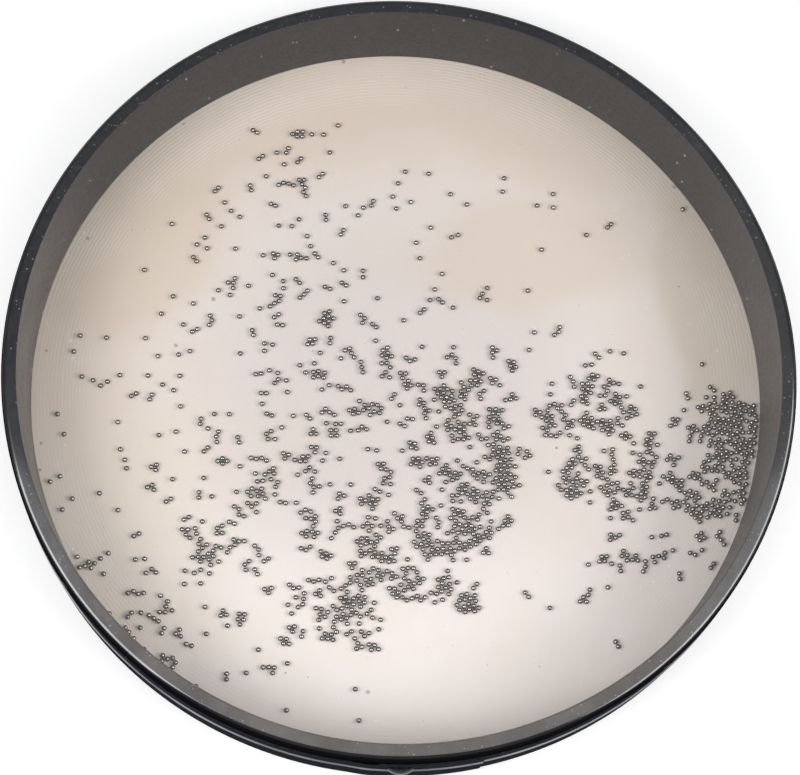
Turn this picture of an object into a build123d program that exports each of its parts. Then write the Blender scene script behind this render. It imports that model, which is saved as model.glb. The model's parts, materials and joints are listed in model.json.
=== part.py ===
"""Ocean drum: a round shell closed by two films, with loose steel beads rolling between them.

The drum's axis is +Z, the lower film rests on z = 0, and lengths are in millimetres.
"""
import os
import random
from itertools import combinations
from math import cos, hypot, radians, sin, sqrt

from build123d import *

# Shell
shell_outer_diameter = 406.4
shell_wall = 8.2
shell_height = 52.6
rim_round = 3.0
inner_edge_round = 0.8

# Heads: the glue line is the gap that adhesive fills under a film
film = 0.25
glue_line = 0.1
top_skirt = 12.5
bottom_skirt = 14.0

# Side band: one strip with a thicker hem, its ends lapped over each other
band_start = 0.8
band_gap = 0.1
band_thickness = 0.5
band_below_skirt = 0.6
hem_height = 25.0
hem_thickness = 1.2
tongue_angle = -93.0
climb_angle = -98.0
climbed_angle = -94.0
lap_end_angle = -78.4
hem_break_angle = 0.15

# Lap rivet, through both ends of the band and into a blind hole in the shell
rivet_angle = -90.0
rivet_head_diameter = 13.0
rivet_head_height = 3.2
rivet_head_lip = 0.6
rivet_shank_diameter = 6.0
rivet_under_head = 0.05
rivet_end_gap = 0.6
wall_behind_rivet = 1.65
shell_hole_clearance = 0.1
band_hole_clearance = 0.2

# Beads: loose, so every one keeps a little air around it
bead_diameter = 2.7
bead_gap = 0.06
bead_rest = 0.1
ring_count = 4
ring_lane = 0.1

# How the beads lie: drifts and strays, read in a drum of this inner radius
layout_radius = 195.6
bead_seed = 11
drift_slack = 1.25

# How a bead comes to rest against others, in spacings of one bead from the next
search = 2.0
pull = 1.25
closest_touch = 1.0005
loosest_touch = 1.08
farthest_move = 4.0
lone_touch_cost = 1.3

# Derived sizes
shell_radius = shell_outer_diameter / 2
inner_radius = shell_radius - shell_wall
shell_bottom = film + glue_line
shell_top = shell_bottom + shell_height
skirt_radius = shell_radius + glue_line
band_radius = skirt_radius + film + band_gap
band_top = shell_top - top_skirt - band_below_skirt
lap_radius = band_radius + band_thickness + band_gap
hem_top = band_start + hem_height
rivet_height = (hem_top + band_top) / 2
shell_hole_depth = shell_wall - wall_behind_rivet
rivet_seat = lap_radius + band_thickness + rivet_under_head
bead_spacing = bead_diameter + bead_gap
bead_height = film + bead_rest + bead_diameter / 2

# Each drift: the two ends of its line, how far its beads lie off the line, and how many there are
DRIFTS = [
    # far left
    (-57, 146, -38, 151, 3, 6), (-80, 147, -80, 147, 1, 2), (-63, 140, -58, 124, 3, 7),
    (-51, 136, -34, 137, 4, 5), (-42, 124, -42, 120, 1, 2), (-58, 119, -48, 106, 3, 8),
    (-84, 116, -81, 116, 1, 2), (-77, 136, -78, 127, 1, 2), (-103, 111, -99, 112, 1, 2),
    (-70, 105, -66, 104, 1, 2), (-98, 102, -84, 100, 3, 4), (-106, 98, -106, 96, 1, 2),
    (-71, 95, -44, 95, 3, 5), (-34, 91, -31, 89, 1, 2), (-20, 101, -14, 109, 1, 4),
    (-71, 77, -50, 77, 3, 8), (-76, 67, -63, 70, 2, 3), (-42, 74, -30, 65, 4, 6),
    (-114, 76, -94, 76, 4, 6), (-97, 63, -80, 58, 2, 4), (-96, 53, -83, 52, 2, 3),
    (-20, 69, -14, 61, 4, 3), (-52, 60, -56, 51, 2, 5), (-62, 58, -75, 42, 2, 8),
    (-92, 45, -84, 41, 2, 5), (-37, 58, -27, 53, 3, 4), (-38, 44, -40, 34, 3, 5),
    (-22, 37, -11, 33, 2, 3), (-112, 37, -98, 41, 3, 4), (-66, 37, -50, 34, 2, 4),
    # far right
    (29, 85, 32, 87, 1, 2), (20, 51, 25, 45, 2, 4), (11, 43, 14, 45, 1, 2), (46, 56, 52, 49, 2, 4),
    (114, 95, 116, 96, 1, 2),
    # left
    (-156, 1, -155, -2, 1, 2), (-145, -5, -142, -4, 1, 2), (-135, -7, -132, -7, 1, 2),
    (-104, -20, -91, -34, 1, 6), (-86, -33, -84, -30, 1, 2), (-111, -36, -103, -37, 2, 3),
    (-97, -41, -93, -46, 2, 3), (-83, -43, -83, -47, 1, 2), (-147, -45, -141, -50, 2, 2),
    (-134, -43, -127, -47, 2, 3), (-133, -55, -127, -58, 1, 4), (-121, -62, -120, -65, 1, 2),
    (-108, -53, -102, -60, 2, 4), (-78, -2, -69, -4, 1, 2), (-74, -10, -64, -22, 1, 4),
    (-72, -25, -64, -30, 2, 4), (-57, -17, -44, -19, 2, 4), (-79, -39, -69, -42, 1, 4),
    (-78, 8, -65, 8, 1, 4), (-79, 32, -69, 18, 3, 5), (-60, 4, -44, 12, 3, 8),
    (-62, -36, -55, -41, 2, 4), (-54, -41, -45, -43, 2, 7), (-70, -48, -60, -56, 2, 6),
    (-84, -55, -70, -60, 2, 8), (-78, -50, -70, -52, 2, 4), (-80, -64, -70, -62, 2, 7),
    (-84, -68, -80, -72, 2, 5), (-88, -75, -86, -78, 1, 2), (-95, -79, -90, -80, 1, 4),
    (-85, -85, -80, -88, 1, 4), (-112, -69, -110, -75, 1, 2), (-62, -62, -52, -66, 2, 5),
    (-52, -67, -44, -73, 1, 5), (-53, -78, -44, -79, 2, 8), (-46, -83, -40, -92, 1, 4),
    (-53, -90, -46, -93, 2, 3), (-116, -79, -102, -80, 2, 7), (-121, -84, -118, -84, 1, 2),
    (-103, -84, -100, -90, 2, 5), (-109, -94, -99, -96, 2, 8), (-96, -91, -90, -90, 2, 4),
    (-136, -80, -135, -86, 1, 2), (-75, -90, -69, -95, 2, 5),
    # near left
    (-166, -100, -158, -98, 2, 6), (-133, -96, -127, -104, 2, 5), (-160, -112, -155, -117, 1, 3),
    (-136, -112, -132, -115, 1, 3), (-150, -122, -148, -125, 1, 2), (-141, -126, -134, -124, 1, 3),
    (-122, -117, -117, -125, 2, 6), (-128, -125, -124, -128, 1, 3), (-125, -134, -122, -134, 1, 2),
    (-141, -136, -131, -138, 2, 5), (-112, -136, -106, -140, 2, 5), (-123, -146, -114, -152, 2, 6),
    (-108, -162, -100, -166, 1, 3), (-105, -103, -99, -108, 2, 4), (-98, -94, -93, -99, 2, 3),
    (-92, -122, -90, -126, 1, 3), (-93, -130, -82, -128, 1, 4), (-85, -118, -79, -131, 2, 4),
    (-77, -97, -70, -106, 2, 5), (-72, -110, -64, -112, 1, 3), (-59, -110, -49, -112, 2, 5),
    (-54, -117, -52, -124, 2, 5), (-58, -126, -50, -133, 2, 6), (-60, -139, -55, -135, 1, 4),
    (-88, -156, -86, -157, 1, 2), (-71, -152, -64, -152, 1, 4),
    # middle
    (-51, 35, -35, 36, 1, 4), (-52, 26, -33, 24, 2, 5), (-30, 20, -25, 16, 2, 5),
    (-45, 18, -40, 18, 1, 3), (-46, 12, -37, 6, 2, 7), (-13, 34, -9, 34, 1, 2), (-14, 27, -7, 22, 1, 4),
    (-11, 18, -2, 11, 2, 6), (-21, 11, -16, 9, 1, 3), (0, 10, 2, 4, 1, 3), (4, 15, 7, 14, 1, 3),
    (-11, 6, -5, 7, 1, 3), (-3, 2, 14, 0, 1, 7), (-5, -3, -1, -4, 1, 2), (-40, -1, -23, -1, 1, 5),
    (26, 18, 32, 15, 1, 4), (22, 9, 25, 8, 1, 3), (51, 17, 54, 23, 1, 4), (42, 15, 46, 17, 1, 3),
    (40, 8, 46, 5, 1, 6), (60, 18, 62, 9, 1, 5), (44, 4, 56, 3, 1, 6), (33, 3, 41, 1, 2, 6),
    (42, -1, 45, -3, 1, 3), (20, 0, 26, -1, 1, 4), (21, -4, 28, -5, 1, 6), (12, -10, 20, -9, 2, 8),
    (30, -4, 41, -6, 1, 6), (25, -10, 37, -13, 2, 9), (36, -14, 50, -15, 1, 6), (62, 0, 59, -9, 1, 4),
    (-20, -7, -17, -15, 1, 4), (-26, -13, -21, -17, 1, 4), (-15, -12, -8, -18, 2, 7),
    (-1, -20, 5, -20, 1, 2), (4, -17, 15, -17, 1, 3), (-39, -14, -32, -19, 2, 7),
    (-37, -22, -34, -27, 1, 4), (-45, -24, -42, -28, 1, 4), (-25, -24, -23, -26, 1, 2),
    (-18, -23, -16, -26, 1, 2), (-45, -33, -40, -39, 2, 6), (-16, -36, -14, -33, 1, 2),
    (-17, -44, -11, -44, 1, 4), (0, -37, 9, -31, 1, 5), (17, -22, 19, -32, 1, 5),
    (24, -26, 38, -24, 2, 8), (28, -18, 40, -20, 1, 7), (33, -27, 37, -34, 2, 7),
    (48, -16, 58, -22, 2, 11), (45, -26, 60, -27, 2, 11), (48, -31, 62, -33, 2, 6),
    (62, -36, 69, -37, 1, 5), (46, -37, 58, -38, 2, 9), (50, -42, 61, -48, 3, 18),
    (45, -48, 50, -53, 2, 6), (53, -53, 63, -55, 2, 7), (5, -38, 14, -39, 1, 4),
    (3, -42, 20, -42, 1, 6), (27, -37, 33, -39, 1, 5), (21, -43, 28, -46, 1, 6),
    (28, -48, 33, -51, 1, 4), (36, -42, 41, -49, 1, 5), (15, -49, 19, -53, 1, 3),
    (20, -57, 37, -57, 1, 7), (36, -54, 42, -58, 2, 5), (42, -58, 62, -60, 1, 9),
    (24, -62, 39, -63, 3, 10), (14, -63, 20, -71, 1, 5), (-4, -48, -10, -55, 2, 8),
    (-7, -59, -20, -64, 2, 8), (-33, -60, -30, -61, 1, 3), (-46, -52, -43, -58, 1, 5),
    (10, -56, 13, -59, 1, 2),
    # near the middle
    (-34, -69, -28, -71, 1, 3), (-30, -76, -23, -80, 2, 5), (-18, -66, -8, -67, 2, 5),
    (-14, -74, -6, -75, 1, 4), (-19, -76, -16, -77, 1, 2), (0, -69, 2, -75, 1, 4),
    (-15, -80, -2, -80, 1, 5), (-15, -84, -5, -84, 2, 7), (-22, -85, -17, -87, 1, 4),
    (-6, -88, -1, -92, 1, 4), (-40, -90, -31, -94, 1, 5), (-26, -93, -24, -98, 1, 5),
    (-12, -93, -4, -98, 2, 8), (-20, -99, 10, -99, 1, 8), (-28, -105, -15, -104, 2, 9),
    (-12, -103, 0, -104, 2, 8), (3, -104, 12, -103, 1, 4), (3, -107, 18, -114, 3, 18),
    (-4, -110, 2, -114, 1, 6), (-45, -107, -34, -104, 1, 5), (-42, -112, -33, -110, 1, 5),
    (-30, -112, -18, -112, 2, 8), (-33, -117, -17, -117, 2, 8), (-42, -118, -40, -122, 1, 2),
    (-20, -121, -11, -120, 2, 7), (-40, -127, -25, -124, 3, 18), (-38, -131, -20, -132, 2, 7),
    (-40, -137, -33, -134, 1, 3), (-20, -139, -11, -138, 1, 7), (4, -79, 20, -81, 2, 8),
    (8, -84, 20, -87, 2, 9), (13, -66, 18, -72, 1, 4), (10, -75, 14, -75, 1, 3),
    (26, -74, 41, -71, 2, 10), (22, -79, 40, -78, 3, 16), (30, -85, 44, -84, 3, 13),
    (40, -81, 50, -82, 2, 7), (22, -91, 35, -91, 2, 11), (13, -88, 18, -91, 1, 4),
    (44, -62, 48, -72, 1, 4), (54, -71, 60, -78, 2, 7), (20, -108, 30, -105, 2, 7),
    (28, -112, 40, -112, 3, 13), (29, -118, 46, -119, 2, 9), (66, -112, 69, -117, 1, 2),
    (78, -123, 80, -121, 1, 2),
    # right
    (87, 34, 91, 32, 1, 3), (116, 22, 124, 20, 1, 2), (109, 18, 101, 14, 1, 4), (91, 5, 98, 10, 1, 2),
    (109, 10, 102, 3, 1, 5), (113, 3, 124, 3, 1, 5), (95, 2, 100, 1, 1, 4), (94, -3, 104, -2, 1, 6),
    (93, -8, 98, -7, 1, 4), (110, -3, 124, -4, 2, 7), (114, -8, 121, -7, 1, 4),
    (107, -10, 112, -11, 1, 3), (70, -13, 82, -13, 1, 6), (81, -9, 88, -8, 1, 4),
    (80, -16, 84, -18, 1, 4), (88, -15, 94, -20, 2, 7), (78, -23, 86, -25, 2, 7),
    (91, -25, 94, -26, 1, 2), (100, -15, 106, -14, 1, 4), (98, -19, 110, -18, 1, 6),
    (110, -19, 128, -17, 1, 9), (112, -22, 116, -23, 1, 4), (122, -14, 130, -10, 1, 6),
    (140, -13, 150, -18, 2, 6), (152, 0, 157, -2, 1, 2), (160, -10, 164, -10, 1, 3),
    (152, -18, 158, -26, 2, 6), (120, -24, 128, -30, 1, 5), (130, -28, 138, -25, 1, 6),
    (128, -33, 140, -34, 2, 6), (93, -32, 97, -36, 1, 4), (99, -39, 102, -38, 1, 2),
    (110, -34, 118, -36, 1, 4), (88, -45, 98, -44, 2, 8), (86, -50, 101, -52, 3, 14),
    (88, -57, 102, -58, 2, 9), (104, -43, 109, -46, 1, 4), (112, -43, 116, -46, 1, 4),
    (108, -48, 118, -50, 1, 5), (109, -54, 112, -57, 1, 5), (118, -52, 120, -56, 1, 4),
    (127, -38, 138, -40, 1, 6), (124, -44, 128, -49, 1, 5), (129, -44, 138, -52, 3, 15),
    (130, -56, 136, -58, 1, 5), (122, -58, 126, -57, 1, 3), (142, -40, 150, -38, 1, 5),
    (144, -46, 146, -53, 1, 4), (148, -52, 152, -55, 1, 5), (154, -44, 160, -50, 1, 5),
    (154, -56, 162, -60, 1, 6), (128, -62, 138, -66, 2, 6), (140, -60, 152, -64, 1, 6),
    (154, -66, 168, -70, 2, 16), (162, -63, 178, -66, 2, 10), (112, -64, 126, -66, 1, 8),
    (113, -68, 122, -70, 1, 5), (114, -76, 112, -82, 1, 4), (140, -78, 142, -80, 1, 2),
    (155, -77, 161, -80, 1, 4), (170, -75, 170, -78, 1, 2), (176, -76, 180, -80, 1, 4),
    (178, -71, 181, -71, 1, 2),
    # pile by the right wall
    (168, -4, 182, -6, 2, 13), (170, -11, 188, -12, 3, 24), (168, -18, 190, -20, 3, 29),
    (164, -28, 190, -28, 3, 29), (166, -36, 188, -37, 3, 21), (184, -26, 193, -29, 2, 9),
    (192, -11, 192, -17, 1, 3), (164, -43, 172, -42, 1, 5), (160, -48, 170, -54, 2, 6),
    (172, -44, 182, -46, 2, 10), (180, -48, 186, -56, 2, 8), (172, -58, 184, -63, 2, 9),
    # near right
    (114, -84, 118, -86, 1, 2), (115, -89, 118, -92, 1, 5), (106, -95, 116, -95, 2, 7),
    (124, -92, 134, -96, 2, 8), (132, -92, 140, -91, 1, 3), (140, -84, 142, -88, 1, 2),
    (155, -89, 160, -90, 1, 3), (166, -93, 166, -96, 1, 2), (173, -83, 178, -90, 2, 6),
    (148, -101, 149, -104, 1, 2), (94, -114, 100, -119, 2, 6), (113, -136, 114, -139, 1, 2),
]

# Beads that lie alone
STRAYS = [
    (-73, 121), (-66, 116), (-124, 92), (-97, 91), (-29, 104), (-3, 110), (-1, 103), (-50, 86),
    (-138, 65), (-122, 50), (-128, 40), (-1, 49), (4, 125), (17, 124), (0, 118), (7, 107), (29, 112),
    (38, 106), (59, 122), (58, 114), (77, 106), (86, 113), (86, 105), (18, 92), (10, 83), (38, 90),
    (12, 74), (24, 65), (79, 80), (104, 89), (158, 105), (20, 56), (71, 56), (137, 52), (3, 38),
    (-171, 27), (-157, 26), (-136, 26), (-116, 34), (-111, 30), (-102, 34), (-174, 18), (-129, 16),
    (-118, 17), (-112, 19), (-85, 18), (-169, 4), (-163, 2), (-149, 5), (-134, 5), (-117, 5), (-97, 6),
    (-126, 0), (-120, -3), (-116, -12), (-181, -17), (-177, -28), (-149, -21), (-118, -26), (-127, -28),
    (-141, -32), (-147, -36), (-178, -51), (-183, -54), (-171, -63), (-157, -60), (-176, -69),
    (-147, -69), (-119, -52), (-173, -90), (-167, -94), (-151, -92), (-90, -16), (-98, -16),
    (-153, -103), (-140, -113), (-133, -131), (-100, -120), (-99, -134), (-111, -101), (-111, -108),
    (-78, -154), (-72, -142), (-57, -149), (-57, -173), (-22, -162), (-20, -178), (-31, -40), (1, -10),
    (1, -48), (13, 23), (30, 23), (-36, -54), (-25, -54), (-9, -126), (-10, -131), (-15, -133),
    (26, -100), (36, -94), (71, 22), (131, 2), (83, 3), (82, -3), (154, -11), (134, -81), (100, -96),
    (110, -108), (144, -133), (165, 15), (74, 32), (-17, -91), (5, -94), (10, -97), (-33, -80),
    (-35, -83), (80, -46), (83, -48),
]


def lay_beads():
    """Lay the beads in their drifts, clear of each other, of the wall and of the lanes between rings."""
    draw = random.Random(bead_seed)
    reach = inner_radius - bead_rest - bead_diameter / 2
    pitch = reach / ring_count
    half_lane = (bead_diameter + ring_lane) / 2
    scale = inner_radius / layout_radius
    cell_size = search * bead_spacing
    cells = {}
    laid = []

    def cell(x, y):
        return int(x // cell_size), int(y // cell_size)

    def around(x, y):
        column, row = cell(x, y)
        return [bead for i in (-1, 0, 1) for j in (-1, 0, 1) for bead in cells.get((column + i, row + j), ())]

    def free(x, y):
        distance = hypot(x, y)
        border = round(distance / pitch)
        in_lane = 0 < border < ring_count and abs(distance - border * pitch) < half_lane
        if distance > reach or in_lane:
            return False
        return all(hypot(x - a, y - b) >= bead_spacing for a, b in around(x, y))

    def settle(x, y):
        """Find where a bead aimed at a place rests: alone, against one bead or nestled between two."""

        def from_aim(spot):
            return hypot(x - spot[0], y - spot[1])

        others = sorted(around(x, y), key=from_aim)
        if not others or from_aim(others[0]) > pull * bead_spacing:
            return (x, y) if free(x, y) else None
        touch = bead_spacing * draw.uniform(closest_touch, loosest_touch)
        a, b = others[0]
        share = touch / from_aim(others[0])
        against_one = a + (x - a) * share, b + (y - b) * share
        spots = [(from_aim(against_one) * lone_touch_cost, against_one)]
        for (a, b), (c, d) in combinations(others, 2):
            apart = hypot(a - c, b - d)
            if apart < 2 * touch:
                rise = sqrt(touch**2 - apart**2 / 4) / apart
                for way in (-rise, rise):
                    between_two = (a + c) / 2 + way * (b - d), (b + d) / 2 - way * (a - c)
                    spots.append((from_aim(between_two), between_two))
        for cost, spot in sorted(spots):
            if cost < farthest_move * bead_spacing and free(*spot):
                return spot
        return None

    def lay(x, y):
        spot = settle(x * scale, y * scale)
        if spot:
            cells.setdefault(cell(*spot), []).append(spot)
            laid.append(spot)

    for x, y in STRAYS:
        lay(x, y)
    for x1, y1, x2, y2, spread, count in DRIFTS:
        for _ in range(count):
            along = draw.random()
            x = x1 + along * (x2 - x1) + draw.gauss(0, spread * drift_slack)
            y = y1 + along * (y2 - y1) + draw.gauss(0, spread * drift_slack)
            lay(x, y)
    return laid, pitch


def polar(radius, angle):
    return radius * cos(radians(angle)), radius * sin(radians(angle))


def head_section(edge, way, skirt):
    """Draw one film's section: flat over the shell, round its edge and down the outside as a skirt."""
    bend = shell_radius - rim_round
    turn = edge - way * rim_round
    end = edge - way * skirt
    first = 0 if way > 0 else 270
    inside = edge + way * glue_line
    outside = inside + way * film
    with BuildSketch(Plane.XZ) as section:
        with BuildLine():
            Polyline((bend, inside), (0, inside), (0, outside), (bend, outside))
            CenterArc((bend, turn), rim_round + glue_line + film, first, 90)
            CenterArc((bend, turn), rim_round + glue_line, first, 90)
            Polyline(
                (skirt_radius, turn), (skirt_radius, end),
                (skirt_radius + film, end), (skirt_radius + film, turn)
            )
        make_face()
    return section.sketch


def strip_outline(start, thickness):
    """Draw the strip in plan: round the drum, up over its own end and on to the end of the lap."""
    outer = band_radius + thickness
    lap_outer = lap_radius + thickness
    round_drum = climb_angle + 360 - start
    along_lap = lap_end_angle - climbed_angle
    with BuildSketch() as outline:
        with BuildLine():
            CenterArc((0, 0), band_radius, start, round_drum)
            Line(polar(band_radius, climb_angle), polar(lap_radius, climbed_angle))
            CenterArc((0, 0), lap_radius, climbed_angle, along_lap)
            Line(polar(lap_radius, lap_end_angle), polar(lap_outer, lap_end_angle))
            CenterArc((0, 0), lap_outer, climbed_angle, along_lap)
            Line(polar(lap_outer, climbed_angle), polar(outer, climb_angle))
            CenterArc((0, 0), outer, start, round_drum)
            Line(polar(outer, start), polar(band_radius, start))
        make_face()
    return outline.sketch


os.makedirs("parts", exist_ok=True)

# The rivet's holes are cut along a radius, from a plane outside the drum
rivet_way = (*polar(1, rivet_angle), 0)
bore_start = lap_radius + hem_thickness
bore_plane = Plane((*polar(bore_start, rivet_angle), rivet_height), x_dir=(0, 0, 1), z_dir=rivet_way)

with BuildPart() as shell:
    with BuildSketch(Plane.XZ) as shell_section:
        with Locations((shell_radius - shell_wall / 2, shell_bottom + shell_height / 2)):
            Rectangle(shell_wall, shell_height)
        corners = shell_section.vertices().group_by(Axis.X)
        fillet(corners[-1], rim_round)
        fillet(shell_section.vertices().group_by(Axis.X)[0], inner_edge_round)
    revolve(axis=Axis.Z)
    with BuildSketch(bore_plane):
        Circle(rivet_shank_diameter / 2 + shell_hole_clearance)
    extrude(amount=-(bore_start - shell_radius + shell_hole_depth), mode=Mode.SUBTRACT)
shell.part.label = "shell"
export_step(shell.part, "parts/shell.step")

with BuildPart() as top_head:
    add(head_section(shell_top, 1, top_skirt))
    revolve(axis=Axis.Z)
top_head.part.label = "top_head"
export_step(top_head.part, "parts/top_head.step")

with BuildPart() as bottom_head:
    add(head_section(shell_bottom, -1, bottom_skirt))
    revolve(axis=Axis.Z)
bottom_head.part.label = "bottom_head"
export_step(bottom_head.part, "parts/bottom_head.step")

with BuildPart() as side_band:
    with BuildSketch(Plane.XY.offset(band_start)):
        add(strip_outline(tongue_angle, band_thickness))
    extrude(amount=band_top - band_start)
    with BuildSketch(Plane.XY.offset(band_start)):
        add(strip_outline(lap_end_angle + hem_break_angle, hem_thickness))
    extrude(amount=hem_height)
    with BuildSketch(bore_plane):
        Circle(rivet_shank_diameter / 2 + band_hole_clearance)
    extrude(amount=-(bore_start - shell_radius), mode=Mode.SUBTRACT)
side_band.part.label = "side_band"
export_step(side_band.part, "parts/side_band.step")

with BuildPart() as lap_rivet:
    head_radius = rivet_head_diameter / 2
    shank_radius = rivet_shank_diameter / 2
    shank_end = shell_radius - shell_hole_depth + rivet_end_gap
    lip = rivet_seat + rivet_head_lip
    crown = rivet_seat + rivet_head_height
    dome_radius = (head_radius**2 + (crown - lip) ** 2) / (2 * (crown - lip))
    with BuildSketch(Plane((0, 0, rivet_height), x_dir=rivet_way)):
        with BuildLine():
            Polyline(
                (crown, 0), (shank_end, 0), (shank_end, shank_radius), (rivet_seat, shank_radius),
                (rivet_seat, head_radius), (lip, head_radius)
            )
            RadiusArc((lip, head_radius), (crown, 0), dome_radius)
        make_face()
    revolve(axis=Axis((0, 0, rivet_height), rivet_way))
lap_rivet.part.label = "lap_rivet"
export_step(lap_rivet.part, "parts/lap_rivet.step")

beads, ring_pitch = lay_beads()
groups = {}
for x, y in beads:
    ring = int(hypot(x, y) // ring_pitch) + 1
    side = "left" if x < 0 else "right"
    depth = "near" if y < 0 else "far"
    groups.setdefault(f"ring_{ring}_beads_{depth}_{side}", []).append((x, y, bead_height))

for name, spots in sorted(groups.items()):
    with BuildPart() as bead_group:
        with Locations(*spots):
            Sphere(bead_diameter / 2)
    bead_group.part.label = name
    export_step(bead_group.part, f"parts/{name}.step")
    print(name, len(spots))
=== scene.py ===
# %% [markdown]
# # An ocean drum, seen from above
# An ocean drum is a shallow hoop closed by two films. Loose steel beads lie on the lower, cream film,
# and a clear film on top lets them be seen. Tilting the drum makes the beads roll, and they sound like
# surf. The solids come from a CAD model that is loaded first. Each cell then makes one piece that the
# eye can see, in metres and in the same place as its solid, and gives it a finish made of shader nodes.

# %% Load the drum's solids
import json
import math
import random

import bmesh
import bpy
from mathutils import Matrix, Vector

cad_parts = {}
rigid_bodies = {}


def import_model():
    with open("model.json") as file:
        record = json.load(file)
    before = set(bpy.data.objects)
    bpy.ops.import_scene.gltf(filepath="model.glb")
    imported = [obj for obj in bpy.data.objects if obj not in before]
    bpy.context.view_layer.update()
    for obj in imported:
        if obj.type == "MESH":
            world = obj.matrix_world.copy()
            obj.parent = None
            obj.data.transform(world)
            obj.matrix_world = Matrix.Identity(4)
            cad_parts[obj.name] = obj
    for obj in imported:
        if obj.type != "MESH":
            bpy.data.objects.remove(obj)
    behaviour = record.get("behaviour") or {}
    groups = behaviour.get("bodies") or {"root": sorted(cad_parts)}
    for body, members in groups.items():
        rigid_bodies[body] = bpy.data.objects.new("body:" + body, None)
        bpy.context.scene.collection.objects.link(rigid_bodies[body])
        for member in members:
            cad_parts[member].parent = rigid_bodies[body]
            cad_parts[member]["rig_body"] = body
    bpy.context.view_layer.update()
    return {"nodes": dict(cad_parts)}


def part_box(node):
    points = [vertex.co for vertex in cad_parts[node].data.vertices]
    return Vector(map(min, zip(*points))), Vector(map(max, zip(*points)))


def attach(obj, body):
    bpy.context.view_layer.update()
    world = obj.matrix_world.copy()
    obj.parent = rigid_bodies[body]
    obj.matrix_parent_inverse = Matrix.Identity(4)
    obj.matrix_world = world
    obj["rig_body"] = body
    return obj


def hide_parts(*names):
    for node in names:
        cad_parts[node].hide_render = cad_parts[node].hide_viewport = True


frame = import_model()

MM = 0.001

# %% [markdown]
# ## Sizes read from the solids
# Every piece made here replaces a solid, so it has to lie exactly where that solid lies. Instead of
# typing the sizes a second time, the boxes of the solids give the radii and heights that all later
# cells use. Only what a box can't show, such as the thickness of a wall, is typed.

# %% Sizes of the hoop and its films
shell_low, shell_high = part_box("shell")
top_low, top_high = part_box("top_head")
bottom_low, bottom_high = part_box("bottom_head")
band_low, band_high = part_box("side_band")
rivet_low, rivet_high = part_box("lap_rivet")

FILM = 0.25 * MM
RIM_ROUND = 3.0 * MM
INNER_ROUND = 0.8 * MM
WALL = 8.2 * MM
shell_radius = shell_high.y
inner_radius = shell_radius - WALL
skirt_radius = top_high.y - FILM
print("shell radius %.2f mm, inside %.2f mm, height %.2f mm" % (
    shell_radius / MM, inner_radius / MM, (shell_high.z - shell_low.z) / MM))

# %% [markdown]
# ## The camera first
# The picture looks down into the drum from a little in front of it. The drum's rim and the edge of the
# lower film are two circles at different heights, and where they appear in the picture fixes the lens
# and the place of the camera. A camera in Blender looks along its own -Z axis, so its matrix is built
# from three directions: right, up and back. A 90 mm lens on the usual 36 mm sensor gives the gentle
# perspective of a photograph taken from a metre.

# %% Camera
LENS = 90.0
SENSOR = 36.0
TILT = math.radians(16.898)
TURN = math.radians(-7.488)
DISTANCE = 5.2153 * inner_radius
AIM = Vector((-0.0051 * inner_radius, -0.0797 * inner_radius, shell_high.z))

back = Vector((math.sin(TILT) * math.sin(TURN), -math.sin(TILT) * math.cos(TURN), math.cos(TILT)))
right = Vector((0, 1, 0)).cross(back).normalized()
up = back.cross(right)
camera_data = bpy.data.cameras.new("camera")
camera_data.lens = LENS
camera_data.sensor_width = SENSOR
camera_data.sensor_fit = "HORIZONTAL"
camera = bpy.data.objects.new("camera", camera_data)
bpy.context.scene.collection.objects.link(camera)
facing = Matrix((right, up, back)).transposed().to_4x4()
camera.matrix_world = Matrix.Translation(AIM + DISTANCE * back) @ facing
bpy.context.scene.camera = camera
print("camera stands at", [round(v, 3) for v in camera.matrix_world.translation])

# %% [markdown]
# ## A lathe in mesh code
# The shell, the two films and the rivet are all round, so each is one outline of radius and height
# turned about an axis. A Screw modifier could do this too, but turning the outline by hand lets a point
# on the axis become a single vertex, which keeps the middle of a film free of pinched faces.

# %% The lathe
SIDES = 288
ON_AXIS = 1e-9
DISC_STEPS = 6
BEND_STEPS = 8


def turn_outline(name, outline, closed, sides=SIDES):
    """Turn (radius, height) points about Z into a mesh object; a closed outline makes a hoop."""
    mesh = bmesh.new()
    rows = []
    for radius, height in outline:
        if radius < ON_AXIS:
            rows.append([mesh.verts.new((0, 0, height))])
            continue
        row = []
        for i in range(sides):
            angle = 2 * math.pi * i / sides
            row.append(mesh.verts.new((radius * math.cos(angle), radius * math.sin(angle), height)))
        rows.append(row)
    pairs = list(zip(rows, rows[1:]))
    if closed:
        pairs.append((rows[-1], rows[0]))
    for low, high in pairs:
        for i in range(sides):
            j = (i + 1) % sides
            corners = [low[i % len(low)], low[j % len(low)], high[j % len(high)], high[i % len(high)]]
            corners = list(dict.fromkeys(corners))
            if len(corners) > 2:
                mesh.faces.new(corners)
    bmesh.ops.recalc_face_normals(mesh, faces=mesh.faces)
    data = bpy.data.meshes.new(name)
    mesh.to_mesh(data)
    mesh.free()
    data.shade_smooth()
    piece = bpy.data.objects.new(name, data)
    bpy.context.scene.collection.objects.link(piece)
    return piece


def bend(centre, radius, first, last, steps):
    """Points along an arc in the radius and height plane, with angles in degrees."""
    points = []
    for i in range(steps + 1):
        angle = math.radians(first + (last - first) * i / steps)
        points.append((centre[0] + radius * math.cos(angle), centre[1] + radius * math.sin(angle)))
    return points


def flat_disc(edge, height):
    """Points from near the axis out to an edge, so that a wide disc isn't one fan of slivers."""
    return [(edge * k / DISC_STEPS, height) for k in range(1, DISC_STEPS)]


print("the lathe turns", SIDES, "sides")

# %% [markdown]
# ## Helpers for finishes
# A finish is a node tree. These helpers only save typing: one adds a node and sets or links its inputs,
# three do a step of arithmetic, a smooth fade or a blend of two colours, and one turns the 0 to 255
# numbers of a colour picker into the linear values that shaders use.

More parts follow.
